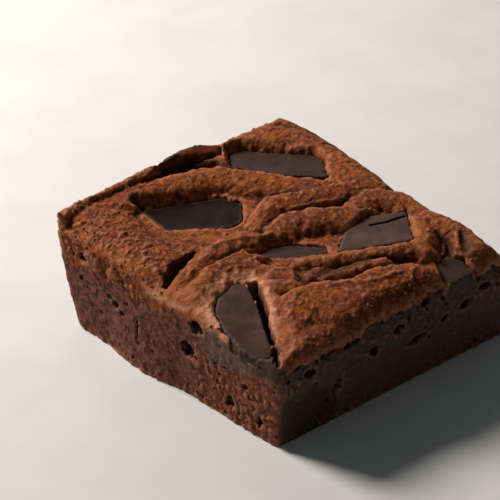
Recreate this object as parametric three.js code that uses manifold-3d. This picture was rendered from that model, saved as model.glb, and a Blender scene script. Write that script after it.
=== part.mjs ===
// Square chocolate brownie with chunks of dark chocolate baked into its folded top crust.
// Lengths are millimetres. +Z is up and the foot rests on z = 0.
// The west side (-X) and the south side (-Y) are the two cut faces; north and east are the far ones.

import * as THREE from 'three';
import { mergeVertices } from 'three/addons/utils/BufferGeometryUtils.js';
import Module from 'manifold-3d';

// Corners of the crust's rim and of the foot, in the order south-west, south-east, north-east, north-west
const RIM_CORNERS = [[-36, -39.5], [38.5, -40], [37.5, 38.5], [-40.5, 39.5]];
const FOOT_CORNERS = [[-35.5, -38], [39.5, -39.5], [38, 37], [-39.5, 33.5]];

// Height of the plain crust at the same four corners, before folds
const CRUST_CORNERS = [25.5, 25.8, 27.8, 28.5];

// Grid of the crust and rows of the sides
const CRUST_CELLS = 60;
const SIDE_ROWS = 7;

// Softness of the line where two folds meet
const FOLD_BLEND = 0.6;

// Folds of the crust. Each spine point is [x, y, crest height]. Front and back are the fold's half
// widths to the right and to the left of the spine's run, and fall is its drop from crest to edge.
const FOLDS = [
  { spine: [[-33, 12, 29], [-33, 24, 29.8], [-31, 35, 30.6]], front: 8.5, back: 8.5, fall: 3 },
  { spine: [[-39, 38.5, 31.2], [-26, 39.4, 31.6], [-10, 39.2, 32.4]], front: 3, back: 4, fall: 3 },
  {
    spine: [
      [-32, 36.5, 30.2], [-24, 36, 30.6], [-16, 36, 30.8], [-8, 34, 30.9], [0.5, 31.5, 30.9],
      [5.5, 28, 30.9], [9, 23, 30.6], [20, 9, 29.8],
    ],
    front: 7.5,
    back: 2.2,
    fall: 4,
  },
  {
    spine: [[11, 38.5, 30.6], [18, 37.5, 31], [32, 35.5, 31.2], [34.5, 23.5, 30.5], [33, 4.5, 29.3]],
    front: 9,
    back: 5,
    fall: 2.6,
  },
  {
    spine: [
      [-5, 6, 29.2], [-1, 8.5, 29.6], [4.5, 11, 30], [12.5, 7.5, 30.2], [26, 4, 29.5], [31.5, 1, 29],
    ],
    front: 6,
    back: 2.6,
    fall: 4,
  },
  {
    spine: [[-3, 1.5, 29.3], [3, 3, 29.9], [10, -0.5, 30.3], [18, -5.5, 29.5]],
    front: 7.5,
    back: 2.4,
    fall: 5,
  },
  {
    spine: [
      [-38, -0.5, 27.5], [-25, 2.5, 29], [-18.5, 3.5, 29.4], [-11, 3.5, 29.4], [-2.5, -1.5, 28.5],
    ],
    front: 5,
    back: 3.2,
    fall: 4,
  },
  { spine: [[-32, -5, 28.2], [-25, -3, 28.8], [-13, -2.5, 28.6]], front: 5.5, back: 3, fall: 3 },
  { spine: [[-37.8, -1.5, 27.6], [-36, -5.5, 28.1], [-33.5, -8, 27.8]], front: 4.6, back: 4.6, fall: 4.6 },
  { spine: [[-16.5, -6.5, 28.6], [-12.5, -15.5, 28.5]], front: 5, back: 2.6, fall: 4 },
  { spine: [[-20.5, -13.5, 28.6], [-14, -18.5, 28.3]], front: 5, back: 2.6, fall: 4 },
  {
    spine: [[-6, -13, 28.2], [5, -19.5, 28.8], [18, -26, 29], [20, -29, 28.6]],
    front: 3.4,
    back: 2.4,
    fall: 3.5,
  },
  {
    spine: [[-7.5, -18.5, 28.4], [-2.5, -23, 28.8], [5.5, -25, 28.9], [8.5, -26.5, 28.6]],
    front: 3,
    back: 2.6,
    fall: 3.5,
  },
  {
    spine: [
      [-24.5, -22, 27.8], [-15, -22.5, 28.8], [-9, -25, 29.2], [-5, -29, 29.4], [3.5, -29, 29.4],
      [12.5, -33, 28.8], [14.5, -36.5, 28],
    ],
    front: 14,
    back: 2.2,
    fall: 7,
  },
  {
    spine: [
      [-19.5, -12.5, 27.5], [-20.8, -17, 27.6], [-24, -23.5, 27.2], [-28.7, -31.5, 26.2],
      [-33.5, -39.5, 24.2],
    ],
    front: 1.6,
    back: 5,
    fall: 3,
  },
  { spine: [[20, -29, 28.2], [25, -23.5, 28.8], [28, -19, 28.6]], front: 4, back: 4, fall: 3.5 },
  {
    spine: [[26, -19, 28.4], [30.5, -20, 29.1], [33.5, -27, 29], [32.5, -38, 27.5], [30.5, -42, 26]],
    front: 6,
    back: 6,
    fall: 4,
  },
  {
    spine: [[21.5, -3.5, 28.8], [27, -3, 29.5], [32, -8, 29.4], [32.5, -18, 28.2]],
    front: 5.5,
    back: 4,
    fall: 4,
  },
];

// Deep creases of the crust. Each spine point is [x, y, half width].
const CREASES = [
  {
    spine: [[-35.8, 1.4, 1.2], [-33, 2.9, 1.5], [-29.5, 4.8, 1.8], [-26, 6.2, 1.5], [-22.5, 7.4, 1]],
    depth: 3.8,
  },
  { spine: [[-9.5, 37.6, 1.2], [-6, 36.8, 1.8], [0, 35, 2.2], [6, 32.5, 1.6]], depth: 3 },
  {
    spine: [[-19.4, -9.5, 1.6], [-22, -16, 2.1], [-26, -23.8, 2.1], [-30.3, -31.2, 1.6], [-34, -36.5, 1.2]],
    depth: 5,
  },
];

// Rounding of the crust down to each side: reach inward, and drop at the near and the far end of the side
const SHOULDERS = {
  south: { reach: 5, drop: [2.4, 2.4] },
  west: { reach: 5, drop: [2.8, 0] },
  east: { reach: 7, drop: [5, 2] },
  north: { reach: 3, drop: [0.3, 0.3] },
};
const SHOULDER_OVERLAP = 0.4;

// Where, along Y, the crust's rise beside a chunk turns into its gentler rise behind the far end
const FAR_BANK_FROM = -16;
const FAR_BANK_TO = -10;

// Chocolate chunks. Outline seen from above, height of the top at the outline's middle,
// slope of the top toward +Y, thickness, and how steeply the crust rises beside it.
const CHUNKS = {
  chunk_left: {
    outline: [[-20, 31.5], [-1, 23], [1.5, 17], [-4, 10.5], [-8, 10], [-21.5, 19.5]],
    top: 27,
    slope: -0.02,
    thickness: 8,
    bank: 1.3,
    edge: 0.5,
    cornerRadius: 1.2,
  },
  chunk_back: {
    outline: [[9.5, 31], [13, 36], [17, 35.5], [29.5, 21.5], [29.5, 17.5], [25, 11], [17, 19]],
    top: 28.2,
    slope: 0,
    thickness: 8,
    bank: 1.3,
    edge: 0.5,
    cornerRadius: 1.2,
  },
  chunk_edge: {
    outline: [[-10.5, 38.8], [-5, 40.2], [1, 40.6], [6.5, 40], [12, 37.4], [9.5, 34.4], [2, 37], [-5, 38]],
    top: 32,
    slope: 0.5,
    thickness: 8,
    bank: 6,
    edge: 1,
    cornerRadius: 1,
  },
  chunk_right: {
    outline: [[3.5, -15.5], [11, -10], [21, -8.5], [29.5, -13], [26, -18], [21.5, -24], [7.5, -18]],
    top: 27.5,
    slope: 0,
    thickness: 8,
    bank: 1.3,
    edge: 0.5,
    cornerRadius: 1.2,
  },
  chunk_middle: {
    outline: [[-12.5, -2.5], [-6, -2], [-2, -4], [4.5, -11], [3, -13], [-3, -10.5], [-9, -6.5]],
    top: 26.2,
    slope: 0,
    thickness: 7,
    bank: 1.3,
    edge: 0.4,
    cornerRadius: 1.2,
  },
  chunk_front: {
    outline: [
      [-30.6, -10.2],
      [-23.2, -7.9],
      [-20.6, -10.2],
      [-23.8, -18],
      [-27.5, -24.5],
      [-31, -31.4],
      [-33.8, -33],
      [-36.2, -31],
      [-37, -26.5],
      [-36, -19],
      [-33.8, -13.4],
    ],
    top: 24.1,
    slope: 0.17,
    thickness: 4,
    bank: 0.7,
    farBank: 0.28,
    edge: 0.5,
    cornerRadius: 1,
  },
  chunk_corner: {
    outline: [[20, -33], [24.5, -32], [27, -35.5], [27.3, -39.9], [16.5, -39.8]],
    top: 24.5,
    slope: 0.3,
    thickness: 4.5,
    bank: 2,
    edge: 0.4,
    cornerRadius: 1.2,
  },
};
const CHUNK_CORNER_STEPS = 3;
const CHUNK_EDGE_STEPS = 2;
const POCKET_GAP = 0.3;

// Split in the top of chunk_right: centre line from end to end, width and depth
const SPLIT = { from: [18, -12], to: [27, -14.8], width: 0.7, depth: 1 };

// The sides keep near the rim's outline for most of their height, then turn in to the foot
const SIDE_CURVE = 1.5;

// The foot of the west side bellies outward about its middle
const FOOT_BELLY = { middle: 8, halfLength: 13, reach: 1.9 };

// Lip of crust over the cut faces, and the hollow that runs right under it
const LIP = { bottom: 0.12, reach: 0.35 };
const UNDERCUT = { middle: 0.28, halfHeight: 0.18, depth: 0.5 };
const CORNER_FADE = 4;

// Torn crumb on the sides: waves along the side whose start swings with height
const CRUMB_WAVES = [
  { height: 0.3, along: 0.62, up: 0.35, swing: 1.5 },
  { height: 0.22, along: 1.35, up: 0.9, swing: 1.5 },
];

// Holes in the two cut faces: distance along the face, height, half width, half height, depth
const WEST_HOLES = [
  [30, 21.5, 2.4, 1.6, 1.6],
  [17, 14.3, 2.6, 1.8, 1.3],
  [9.2, 11.4, 1.4, 3, 1.3],
  [-11, 21.4, 2.3, 2.3, 2],
  [-7.6, 13.3, 2.2, 2.1, 1.6],
  [-21.8, 5.3, 1.8, 1.6, 1.4],
];
const SOUTH_HOLES = [
  [12, 20.5, 2, 1.8, 1.8],
  [8, 11.5, 3.8, 1.7, 1.6],
  [27, 14.5, 3.4, 1.8, 1.6],
  [-4, 18, 2.4, 2.2, 1.6],
  [-24, 21, 3, 1.8, 1.6],
  [-18, 8, 2, 4, 1.6],
];

const MATERIALS = {
  brownie: { color: 0x78462d, roughness: 0.7, metalness: 0 },
  chunk: { color: 0x3c302e, roughness: 0.4, metalness: 0 },
};

// Soft maximum of two heights; blend is the width of the rounded crease between them
function softMax(a, b, blend) {
  const share = THREE.MathUtils.clamp(0.5 + (0.5 * (a - b)) / blend, 0, 1);
  return b + (a - b) * share + blend * share * (1 - share);
}

function softMin(a, b, blend) {
  return -softMax(-a, -b, blend);
}

// Distance from a point to a spine, whether the point is left of the spine's run, and the third
// value of the spine (a crest height or a half width) at the nearest place
function nearestOnSpine(x, y, spine) {
  const nearest = { distance: Infinity, left: false, value: 0 };
  for (let i = 0; i < spine.length - 1; i += 1) {
    const [ax, ay, aValue] = spine[i];
    const [bx, by, bValue] = spine[i + 1];
    const [runX, runY] = [bx - ax, by - ay];
    const along = ((x - ax) * runX + (y - ay) * runY) / (runX ** 2 + runY ** 2);
    const t = THREE.MathUtils.clamp(along, 0, 1);
    const [offX, offY] = [x - ax - t * runX, y - ay - t * runY];
    const distance = Math.hypot(offX, offY);
    if (distance < nearest.distance) {
      nearest.distance = distance;
      nearest.left = runX * offY > runY * offX;
      nearest.value = THREE.MathUtils.lerp(aValue, bValue, t);
    }
  }
  return nearest;
}

// Distance from a point to an outline, negative inside
function outlineDistance(x, y, outline) {
  let distance = Infinity;
  let inside = false;
  outline.forEach(([ax, ay], i) => {
    const [bx, by] = outline[(i + 1) % outline.length];
    const length2 = (bx - ax) ** 2 + (by - ay) ** 2;
    const t = THREE.MathUtils.clamp(((x - ax) * (bx - ax) + (y - ay) * (by - ay)) / length2, 0, 1);
    distance = Math.min(distance, Math.hypot(x - ax - t * (bx - ax), y - ay - t * (by - ay)));
    if (ay > y !== by > y && x < ((bx - ax) * (y - ay)) / (by - ay) + ax) {
      inside = !inside;
    }
  });
  return inside ? -distance : distance;
}

function middleOf(outline) {
  const sum = outline.reduce(([sx, sy], [x, y]) => [sx + x, sy + y], [0, 0]);
  return sum.map((value) => value / outline.length);
}

// Value at (u, v) between four corner values given south-west, south-east, north-east, north-west
function blendCorners([southWest, southEast, northEast, northWest], u, v) {
  const south = southWest + (southEast - southWest) * u;
  const north = northWest + (northEast - northWest) * u;
  return south + (north - south) * v;
}

function pointBetween(corners, u, v) {
  return [0, 1].map((axis) => blendCorners(corners.map((corner) => corner[axis]), u, v));
}

// How far the crust drops at (u, v) as it rounds down to the four sides
function shoulderDrop(u, v) {
  const across = RIM_CORNERS[1][0] - RIM_CORNERS[0][0];
  const deep = RIM_CORNERS[3][1] - RIM_CORNERS[0][1];
  const sides = [
    [SHOULDERS.south, v * deep, u],
    [SHOULDERS.west, u * across, v ** 3],
    [SHOULDERS.east, (1 - u) * across, v],
    [SHOULDERS.north, (1 - v) * deep, u],
  ];
  let total = 0;
  for (const [side, inward, along] of sides) {
    const amount = THREE.MathUtils.lerp(side.drop[0], side.drop[1], along);
    const drop = amount * Math.max(0, 1 - inward / side.reach) ** 2;
    total = Math.max(total, drop) + SHOULDER_OVERLAP * Math.min(total, drop);
  }
  return total;
}

// Height of the crust at grid place (u, v), which lies at (x, y)
function crustHeight(x, y, u, v) {
  let height = blendCorners(CRUST_CORNERS, u, v);
  for (const fold of FOLDS) {
    const { distance, left, value: crest } = nearestOnSpine(x, y, fold.spine);
    const share = distance / (left ? fold.back : fold.front);
    if (share < 1) {
      height = softMax(height, crest - fold.fall * (1 - Math.sqrt(1 - share ** 2)), FOLD_BLEND);
    }
  }
  for (const crease of CREASES) {
    const { distance, value: halfWidth } = nearestOnSpine(x, y, crease.spine);
    height -= crease.depth * Math.max(0, 1 - (distance / halfWidth) ** 2);
  }
  height -= shoulderDrop(u, v);
  for (const chunk of Object.values(CHUNKS)) {
    const beside = Math.max(0, outlineDistance(x, y, chunk.outline));
    height = softMin(height, chunkTop(chunk, y) + POCKET_GAP + bankBeside(chunk, y) * beside, FOLD_BLEND);
  }
  return height;
}

// How steeply the crust rises beside a chunk, which can be gentler behind the chunk's far end
function bankBeside(chunk, y) {
  const far = THREE.MathUtils.smoothstep(y, FAR_BANK_FROM, FAR_BANK_TO);
  return THREE.MathUtils.lerp(chunk.bank, chunk.farBank ?? chunk.bank, far);
}

function chunkTop(chunk, y) {
  return chunk.top + chunk.slope * (y - middleOf(chunk.outline)[1]);
}

// Outward push of a side's surface. Along is the distance along the side, low the share of the
// way down from rim to foot, and holes is the list of that face.
function sideRelief(along, z, low, toCorner, holes) {
  let relief = 0;
  for (const wave of CRUMB_WAVES) {
    relief += wave.height * Math.sin(wave.along * along + wave.swing * Math.sin(wave.up * z));
  }
  if (low < LIP.bottom) {
    relief += LIP.reach;
  }
  const hollow = (low - UNDERCUT.middle) / UNDERCUT.halfHeight;
  relief -= UNDERCUT.depth * Math.max(0, 1 - hollow ** 2);
  for (const [place, height, halfWidth, halfHeight, depth] of holes) {
    const reach2 = ((along - place) / halfWidth) ** 2 + ((z - height) / halfHeight) ** 2;
    relief -= depth * Math.max(0, 1 - reach2);
  }
  return relief * Math.sin(Math.PI * low) * Math.min(1, toCorner / CORNER_FADE);
}

// The four sides as walks round the grid, each with its outward direction and its holes
const SIDES = [
  { place: (t) => [t, 0], outward: [0, -1], axis: 0, holes: SOUTH_HOLES },
  { place: (t) => [1, t], outward: [1, 0], axis: 1, holes: [] },
  { place: (t) => [1 - t, 1], outward: [0, 1], axis: 0, holes: [] },
  { place: (t) => [0, 1 - t], outward: [-1, 0], axis: 1, holes: WEST_HOLES },
];

// Position on a side, t of the way along it and low of the way down to the foot
function sidePoint(side, t, low) {
  const [u, v] = side.place(t);
  const rim = pointBetween(RIM_CORNERS, u, v);
  const foot = pointBetween(FOOT_CORNERS, u, v);
  if (side.outward[0] < 0) {
    const fromMiddle = (foot[1] - FOOT_BELLY.middle) / FOOT_BELLY.halfLength;
    foot[0] -= FOOT_BELLY.reach * Math.max(0, 1 - fromMiddle ** 2);
  }
  const z = crustHeight(rim[0], rim[1], u, v) * (1 - low);
  const point = rim.map((value, axis) => THREE.MathUtils.lerp(value, foot[axis], low ** SIDE_CURVE));
  const toCorner = Math.min(t, 1 - t) * (RIM_CORNERS[1][0] - RIM_CORNERS[0][0]);
  const push = sideRelief(point[side.axis], z, low, toCorner, side.holes);
  return [point[0] + side.outward[0] * push, point[1] + side.outward[1] * push, z];
}

// Closed body of cake: crust grid, four side walls and a flat foot
function brownieBody() {
  const positions = [];
  const triangles = [];
  const row = CRUST_CELLS + 1;
  for (let j = 0; j < row; j += 1) {
    for (let i = 0; i < row; i += 1) {
      const [u, v] = [i / CRUST_CELLS, j / CRUST_CELLS];
      const [x, y] = pointBetween(RIM_CORNERS, u, v);
      positions.push(x, y, crustHeight(x, y, u, v));
    }
  }
  for (let j = 0; j < CRUST_CELLS; j += 1) {
    for (let i = 0; i < CRUST_CELLS; i += 1) {
      const a = j * row + i;
      triangles.push(a, a + 1, a + row + 1, a, a + row + 1, a + row);
    }
  }
  let upper = rimIndices(row);
  for (let level = 1; level <= SIDE_ROWS; level += 1) {
    const lower = [];
    for (const side of SIDES) {
      for (let i = 0; i < CRUST_CELLS; i += 1) {
        lower.push(positions.length / 3);
        positions.push(...sidePoint(side, i / CRUST_CELLS, level / SIDE_ROWS));
      }
    }
    joinRings(upper, lower, triangles);
    upper = lower;
  }
  closeRing(upper, [0, 0, 0], positions, triangles);
  return toGeometry(positions, triangles);
}

// Indices of the crust grid's edge, walked in the same order as the sides
function rimIndices(row) {
  const last = row - 1;
  const rim = [];
  const walks = [
    (i) => i,
    (i) => i * row + last,
    (i) => last * row + last - i,
    (i) => (last - i) * row,
  ];
  for (const walk of walks) {
    for (let i = 0; i < last; i += 1) {
      rim.push(walk(i));
    }
  }
  return rim;
}

function joinRings(upper, lower, triangles) {
  upper.forEach((a, i) => {
    const next = (i + 1) % upper.length;
    triangles.push(a, lower[i], lower[next], a, lower[next], upper[next]);
  });
}

// Fan from a middle point that closes a ring from below
function closeRing(ring, middlePoint, positions, triangles) {
  const middle = positions.length / 3;
  positions.push(...middlePoint);
  ring.forEach((index, i) => triangles.push(index, middle, ring[(i + 1) % ring.length]));
}

function toGeometry(positions, triangles) {
  const geometry = new THREE.BufferGeometry();
  geometry.setAttribute('position', new THREE.Float32BufferAttribute(positions, 3));
  geometry.setIndex(triangles);
  return geometry;
}

// Outline with its corners rounded, as points running anticlockwise seen from above
function roundedOutline(outline, radius) {
  const corners = outline.map(([x, y]) => new THREE.Vector2(x, y));
  if (THREE.ShapeUtils.area(corners) < 0) {
    corners.reverse();
  }
  return corners.flatMap((corner, i) => {
    const before = corners.at(i - 1);
    const after = corners[(i + 1) % corners.length];
    const start = corner.clone().add(before.clone().sub(corner).setLength(radius));
    const end = corner.clone().add(after.clone().sub(corner).setLength(radius));
    return new THREE.QuadraticBezierCurve(start, corner, end).getPoints(CHUNK_CORNER_STEPS);
  });
}

// Anticlockwise outline moved outward by gap, or inward when gap is negative
function widened(points, gap) {
  return points.map((here, i) => {
    const arriving = here.clone().sub(points.at(i - 1)).normalize();
    const leaving = points[(i + 1) % points.length].clone().sub(here).normalize();
    const outward = new THREE.Vector2(arriving.y + leaving.y, -arriving.x - leaving.x).normalize();
    const stretch = gap / outward.dot(new THREE.Vector2(arriving.y, -arriving.x));
    return here.clone().addScaledVector(outward, stretch);
  });
}

// Closed body from rings of equal length, listed from the top down as [points, height].
// Every ring is tipped with the chunk's slope, and both ends are closed round a middle point.
function layeredBody(chunk, layers) {
  const [middleX, middleY] = middleOf(chunk.outline);
  const positions = [];
  const triangles = [];
  const rings = layers.map(([points, height]) =>
    points.map((point) => {
      positions.push(point.x, point.y, height + chunk.slope * (point.y - middleY));
      return positions.length / 3 - 1;
    }),
  );
  for (let i = 0; i < rings.length - 1; i += 1) {
    joinRings(rings[i], rings[i + 1], triangles);
  }
  closeRing(rings.at(-1), [middleX, middleY, layers.at(-1)[1]], positions, triangles);
  closeRing(rings[0].toReversed(), [middleX, middleY, layers[0][1]], positions, triangles);
  return toGeometry(positions, triangles);
}

function chunkBody(chunk) {
  const full = roundedOutline(chunk.outline, chunk.cornerRadius);
  const bottom = chunk.top - chunk.thickness;
  const layers = [];
  for (let step = CHUNK_EDGE_STEPS; step > 0; step -= 1) {
    const turn = (step / CHUNK_EDGE_STEPS) * (Math.PI / 2);
    const inset = chunk.edge * (1 - Math.cos(turn));
    layers.push([widened(full, -inset), chunk.top - chunk.edge * (1 - Math.sin(turn))]);
  }
  layers.push([full, chunk.top - chunk.edge]);
  layers.push([full, bottom + chunk.edge]);
  layers.push([widened(full, -chunk.edge), bottom]);
  return layeredBody(chunk, layers);
}

// Room for a chunk in the cake, open at the top
function pocketBody(chunk) {
  const openTop = Math.max(...CRUST_CORNERS) + chunk.thickness;
  const full = widened(roundedOutline(chunk.outline, chunk.cornerRadius), POCKET_GAP);
  return layeredBody(chunk, [[full, openTop], [full, chunk.top - chunk.thickness - POCKET_GAP]]);
}

function splitBody() {
  const [fromX, fromY] = SPLIT.from;
  const [toX, toY] = SPLIT.to;
  const groove = new THREE.BoxGeometry(Math.hypot(toX - fromX, toY - fromY), SPLIT.width, 2 * SPLIT.depth);
  groove.deleteAttribute('uv');
  groove.deleteAttribute('normal');
  groove.rotateZ(Math.atan2(toY - fromY, toX - fromX));
  groove.translate((fromX + toX) / 2, (fromY + toY) / 2, CHUNKS.chunk_right.top);
  return mergeVertices(groove);
}

const wasm = await Module();
wasm.setup();

function toSolid(geometry) {
  return new wasm.Manifold(
    new wasm.Mesh({
      numProp: 3,
      vertProperties: new Float32Array(geometry.attributes.position.array),
      triVerts: new Uint32Array(geometry.index.array),
    }),
  );
}

function fromSolid(solid) {
  const { vertProperties, triVerts } = solid.getMesh();
  return toGeometry(vertProperties, Array.from(triVerts));
}

function namedMesh(name, geometry, look) {
  geometry.computeVertexNormals();
  const mesh = new THREE.Mesh(geometry, new THREE.MeshStandardMaterial({ ...look, flatShading: true }));
  mesh.name = name;
  return mesh;
}

let cake = toSolid(brownieBody());
for (const chunk of Object.values(CHUNKS)) {
  cake = cake.subtract(toSolid(pocketBody(chunk)));
}

const brownie = new THREE.Group();
brownie.name = 'chocolate_brownie';
brownie.add(namedMesh('brownie', fromSolid(cake), MATERIALS.brownie));
for (const [name, chunk] of Object.entries(CHUNKS)) {
  let body = toSolid(chunkBody(chunk));
  if (name === 'chunk_right') {
    body = body.subtract(toSolid(splitBody()));
  }
  brownie.add(namedMesh(name, fromSolid(body), MATERIALS.chunk));
}

// Centre the whole piece over the origin
const box = new THREE.Box3().setFromObject(brownie);
const centre = box.getCenter(new THREE.Vector3());
for (const mesh of brownie.children) {
  mesh.geometry.translate(-centre.x, -centre.y, 0);
}

export default brownie;
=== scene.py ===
"""Chocolate brownie: the baked look of the slice, its chocolate chunks and its crumbs."""

import math
from dataclasses import dataclass

import bmesh
import bpy
import numpy as np
import openvdb
from bpy.props import FloatProperty, FloatVectorProperty, IntProperty, PointerProperty
from mathutils import Matrix, Vector


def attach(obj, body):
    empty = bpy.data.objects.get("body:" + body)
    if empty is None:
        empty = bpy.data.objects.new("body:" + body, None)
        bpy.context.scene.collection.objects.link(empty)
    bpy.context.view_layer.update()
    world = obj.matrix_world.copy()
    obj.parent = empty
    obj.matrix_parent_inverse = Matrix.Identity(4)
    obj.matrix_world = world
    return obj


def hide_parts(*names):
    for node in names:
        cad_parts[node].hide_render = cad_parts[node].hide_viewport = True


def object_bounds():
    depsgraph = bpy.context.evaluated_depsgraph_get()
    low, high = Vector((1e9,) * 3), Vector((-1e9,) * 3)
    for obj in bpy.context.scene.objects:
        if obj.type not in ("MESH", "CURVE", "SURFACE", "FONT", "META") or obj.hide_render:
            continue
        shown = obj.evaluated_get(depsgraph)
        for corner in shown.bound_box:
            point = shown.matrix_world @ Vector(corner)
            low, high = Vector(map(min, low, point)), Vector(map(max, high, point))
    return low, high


bl_info = {
    "name": "Chocolate Brownie",
    "version": (1, 0, 0),
    "blender": (4, 5, 0),
    "location": "3D View > Sidebar > Brownie",
    "description": "Builds a chocolate brownie with chunks of dark chocolate in its crust",
    "category": "Object",
}

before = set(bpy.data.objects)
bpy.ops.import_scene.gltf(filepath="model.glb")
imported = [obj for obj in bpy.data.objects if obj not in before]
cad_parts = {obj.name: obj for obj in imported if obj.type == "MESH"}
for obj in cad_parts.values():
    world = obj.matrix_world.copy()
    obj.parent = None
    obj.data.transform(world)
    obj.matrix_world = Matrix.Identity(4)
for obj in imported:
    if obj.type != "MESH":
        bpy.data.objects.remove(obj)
CAD_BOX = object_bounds()
MM = 0.001

# The tables below are in millimetres round the slice's own middle; this shift centres its box.
SHIFT = np.array([0.5, -0.172])

# Rim and foot corners: south-west, south-east, north-east, north-west
RIM = np.array([(-36, -39.5), (38.5, -40), (37.5, 38.5), (-40.5, 39.5)], float)
FOOT = np.array([(-35.5, -38), (39.5, -39.5), (38, 37), (-39.5, 33.5)], float)
CRUST_CORNERS = (25.5, 25.8, 27.8, 28.5)

# The sides curve from the foot to the rim over this height, and the west one has a low belly.
SIDE_HEIGHT = 27.0
SIDE_CURVE = 1.5
BELLY = {"middle": 8.0, "half_length": 13.0, "reach": 1.9}

# Distances between the lumps of the cake's surface, from broad swells to the finest grain
BROAD_SIZE = 9.0
LUMP_SIZE = 3.4
KNOB_SIZE = 2.6
GRAIN_SIZE = 1.4
FINE_SIZE = 0.95

# Layers of the noise block that serve as maps seen from above
SWELL_LAYER = 10
RAGGED_LAYER = 30
RELIEF_LAYER = 40
POCKET_LAYER = 60

# Folds of the crust: spine points with crest heights, half width in front of the spine (to the
# right of its run) and behind it, and the fall from crest to edge
FOLDS = [
    ([(-33, 12, 29), (-33, 24, 29.8), (-31, 35, 30.6)], 8.5, 8.5, 3),
    ([(-39, 38.5, 31.2), (-26, 39.4, 31.8), (-17, 39.4, 32.5), (-10, 39.2, 33.2)], 3, 4, 3),
    ([(-32, 36.5, 30.2), (-24, 36, 30.6), (-16, 36, 30.8), (-8, 34, 30.9), (0.5, 31.5, 30.9), (5.5, 28, 30.9),
      (9, 23, 30.6), (20, 9, 29.8)], 7.5, 2.2, 4),
    ([(11, 38.5, 30.6), (18, 37.5, 31), (32, 35.5, 31.2), (34.5, 23.5, 30.5), (33, 4.5, 29.3)], 9, 5, 2.6),
    ([(-5, 6, 29.2), (-1, 8.5, 29.6), (4.5, 11, 30), (12.5, 7.5, 30.2), (26, 4, 29.5), (31.5, 1, 29)],
     6, 2.6, 4),
    ([(-3, 1.5, 29.3), (3, 3, 29.9), (10, -0.5, 30.3), (18, -5.5, 29.5)], 7.5, 2.4, 5),
    ([(-38, -0.5, 27.5), (-25, 2.5, 29), (-18.5, 3.5, 29.4), (-11, 3.5, 29.4), (-2.5, -1.5, 28.5)],
     5, 3.2, 4),
    ([(-32, -5, 28.2), (-25, -3, 28.8), (-13, -2.5, 28.6)], 5.5, 3, 3),
    ([(-37.8, -1.5, 27.6), (-36, -5.5, 28.1), (-33.5, -8, 27.8)], 4.6, 4.6, 4.6),
    ([(-16.5, -6.5, 28.6), (-12.5, -15.5, 28.5)], 5, 2.6, 4),
    ([(-20.5, -13.5, 28.6), (-14, -18.5, 28.3)], 5, 2.6, 4),
    ([(-6, -13, 28.2), (5, -19.5, 28.8), (18, -26, 29), (20, -29, 28.6)], 3.4, 2.4, 3.5),
    ([(-7.5, -18.5, 28.4), (-2.5, -23, 28.8), (5.5, -25, 28.9), (8.5, -26.5, 28.6)], 3, 2.6, 3.5),
    ([(-24.5, -22, 27.8), (-15, -22.5, 28.8), (-9, -25, 29.2), (-5, -29, 29.4), (3.5, -29, 29.4),
      (12.5, -33, 28.8), (14.5, -36.5, 28)], 14, 2.2, 7),
    ([(-19.5, -12.5, 27.5), (-20.8, -17, 27.6), (-24, -23.5, 27.2), (-28.7, -31.5, 26.2),
      (-33.5, -39.5, 24.2)], 1.6, 5, 3),
    ([(20, -29, 28.2), (25, -23.5, 28.8), (28, -19, 28.6)], 4, 4, 3.5),
    ([(26, -19, 28.4), (30.5, -20, 29.1), (33.5, -27, 29), (32.5, -38, 27.5), (30.5, -42, 26)], 6, 6, 4),
    ([(21.5, -3.5, 28.8), (27, -3, 29.5), (32, -8, 29.4), (32.5, -18, 28.2)], 5.5, 4, 4),
]

# Dark creases between the folds: spine points with half widths, and the depth where it is widest
CREASES = [
    ([(-35.8, 1.4, 1.0), (-33, 2.9, 1.6), (-29.5, 4.8, 1.7), (-26, 6.2, 1.3), (-22.5, 7.4, 0.7)], 3.6),
    ([(-9.5, 37.6, 0.8), (-6, 36.8, 1.5), (0, 35, 2.0), (6, 32.5, 1.6)], 1.7),
    ([(27.8, -29, 0.8), (24.8, -32.6, 1.5)], 1.1),
    ([(31.8, -30, 0.8), (28.9, -34.5, 1.4)], 0.9),
    ([(-8, -17.5, 1.0), (-6, -20.7, 1.6), (-1, -22.7, 1.6), (5, -24, 0.9)], 1.0),
]

# Thin wrinkles that run along the folds: spine, half width, rise
WRINKLES = [
    ([(-20, 6.8), (-10, 5.2), (-4, 2)], 0.9, 0.45),
    ([(-22.5, 5), (-15, 3.2), (-7, 0.5)], 0.8, 0.4),
    ([(-28, -1.5), (-16.5, -1), (-10, -3)], 1.0, 0.5),
    ([(-27, -6.5), (-20, -5.5), (-14, -5.8)], 0.9, 0.45),
    ([(-17, -10), (-13, -13), (-9, -17)], 0.9, 0.4),
    ([(-8, -27.5), (-1, -32), (8, -33.5)], 1.0, 0.35),
    ([(7, 4.5), (14, 2.5), (21, 0.5)], 0.9, 0.4),
]

# How softly the folds run into each other, and the crust into the hollow round a chunk
FOLD_BLEND = 0.4
HOLLOW_BLEND = 0.6

# The hollow starts this far above a chunk's top. Its rise turns gentler between these places on Y.
HOLLOW_STEP = 0.3
FAR_BANK_SPAN = (-16, -10)


@dataclass
class Chunk:
    """A chocolate chunk, sunk in the crust."""

    outline: list  # seen from above
    top: float  # height of the top at the outline's middle
    # Painted sheen: darkest (0) for a chunk that catches none of the back light's sheen, greyer (1) for one
    # that catches it
    tone: float  # from darkest (0) to greyer (1)
    slope: float = 0.0  # of the top, toward +Y
    thickness: float = 8.0
    bank: float = 1.3  # steepness of the crust beside it
    far_bank: float = None  # steepness of the crust behind its far end, where it differs
    edge: float = 0.5  # rounding of the edge
    crumbed: float = 0.0  # share of crumb baked onto the top
    gap: float = 0.4  # the widest gap round it


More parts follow.
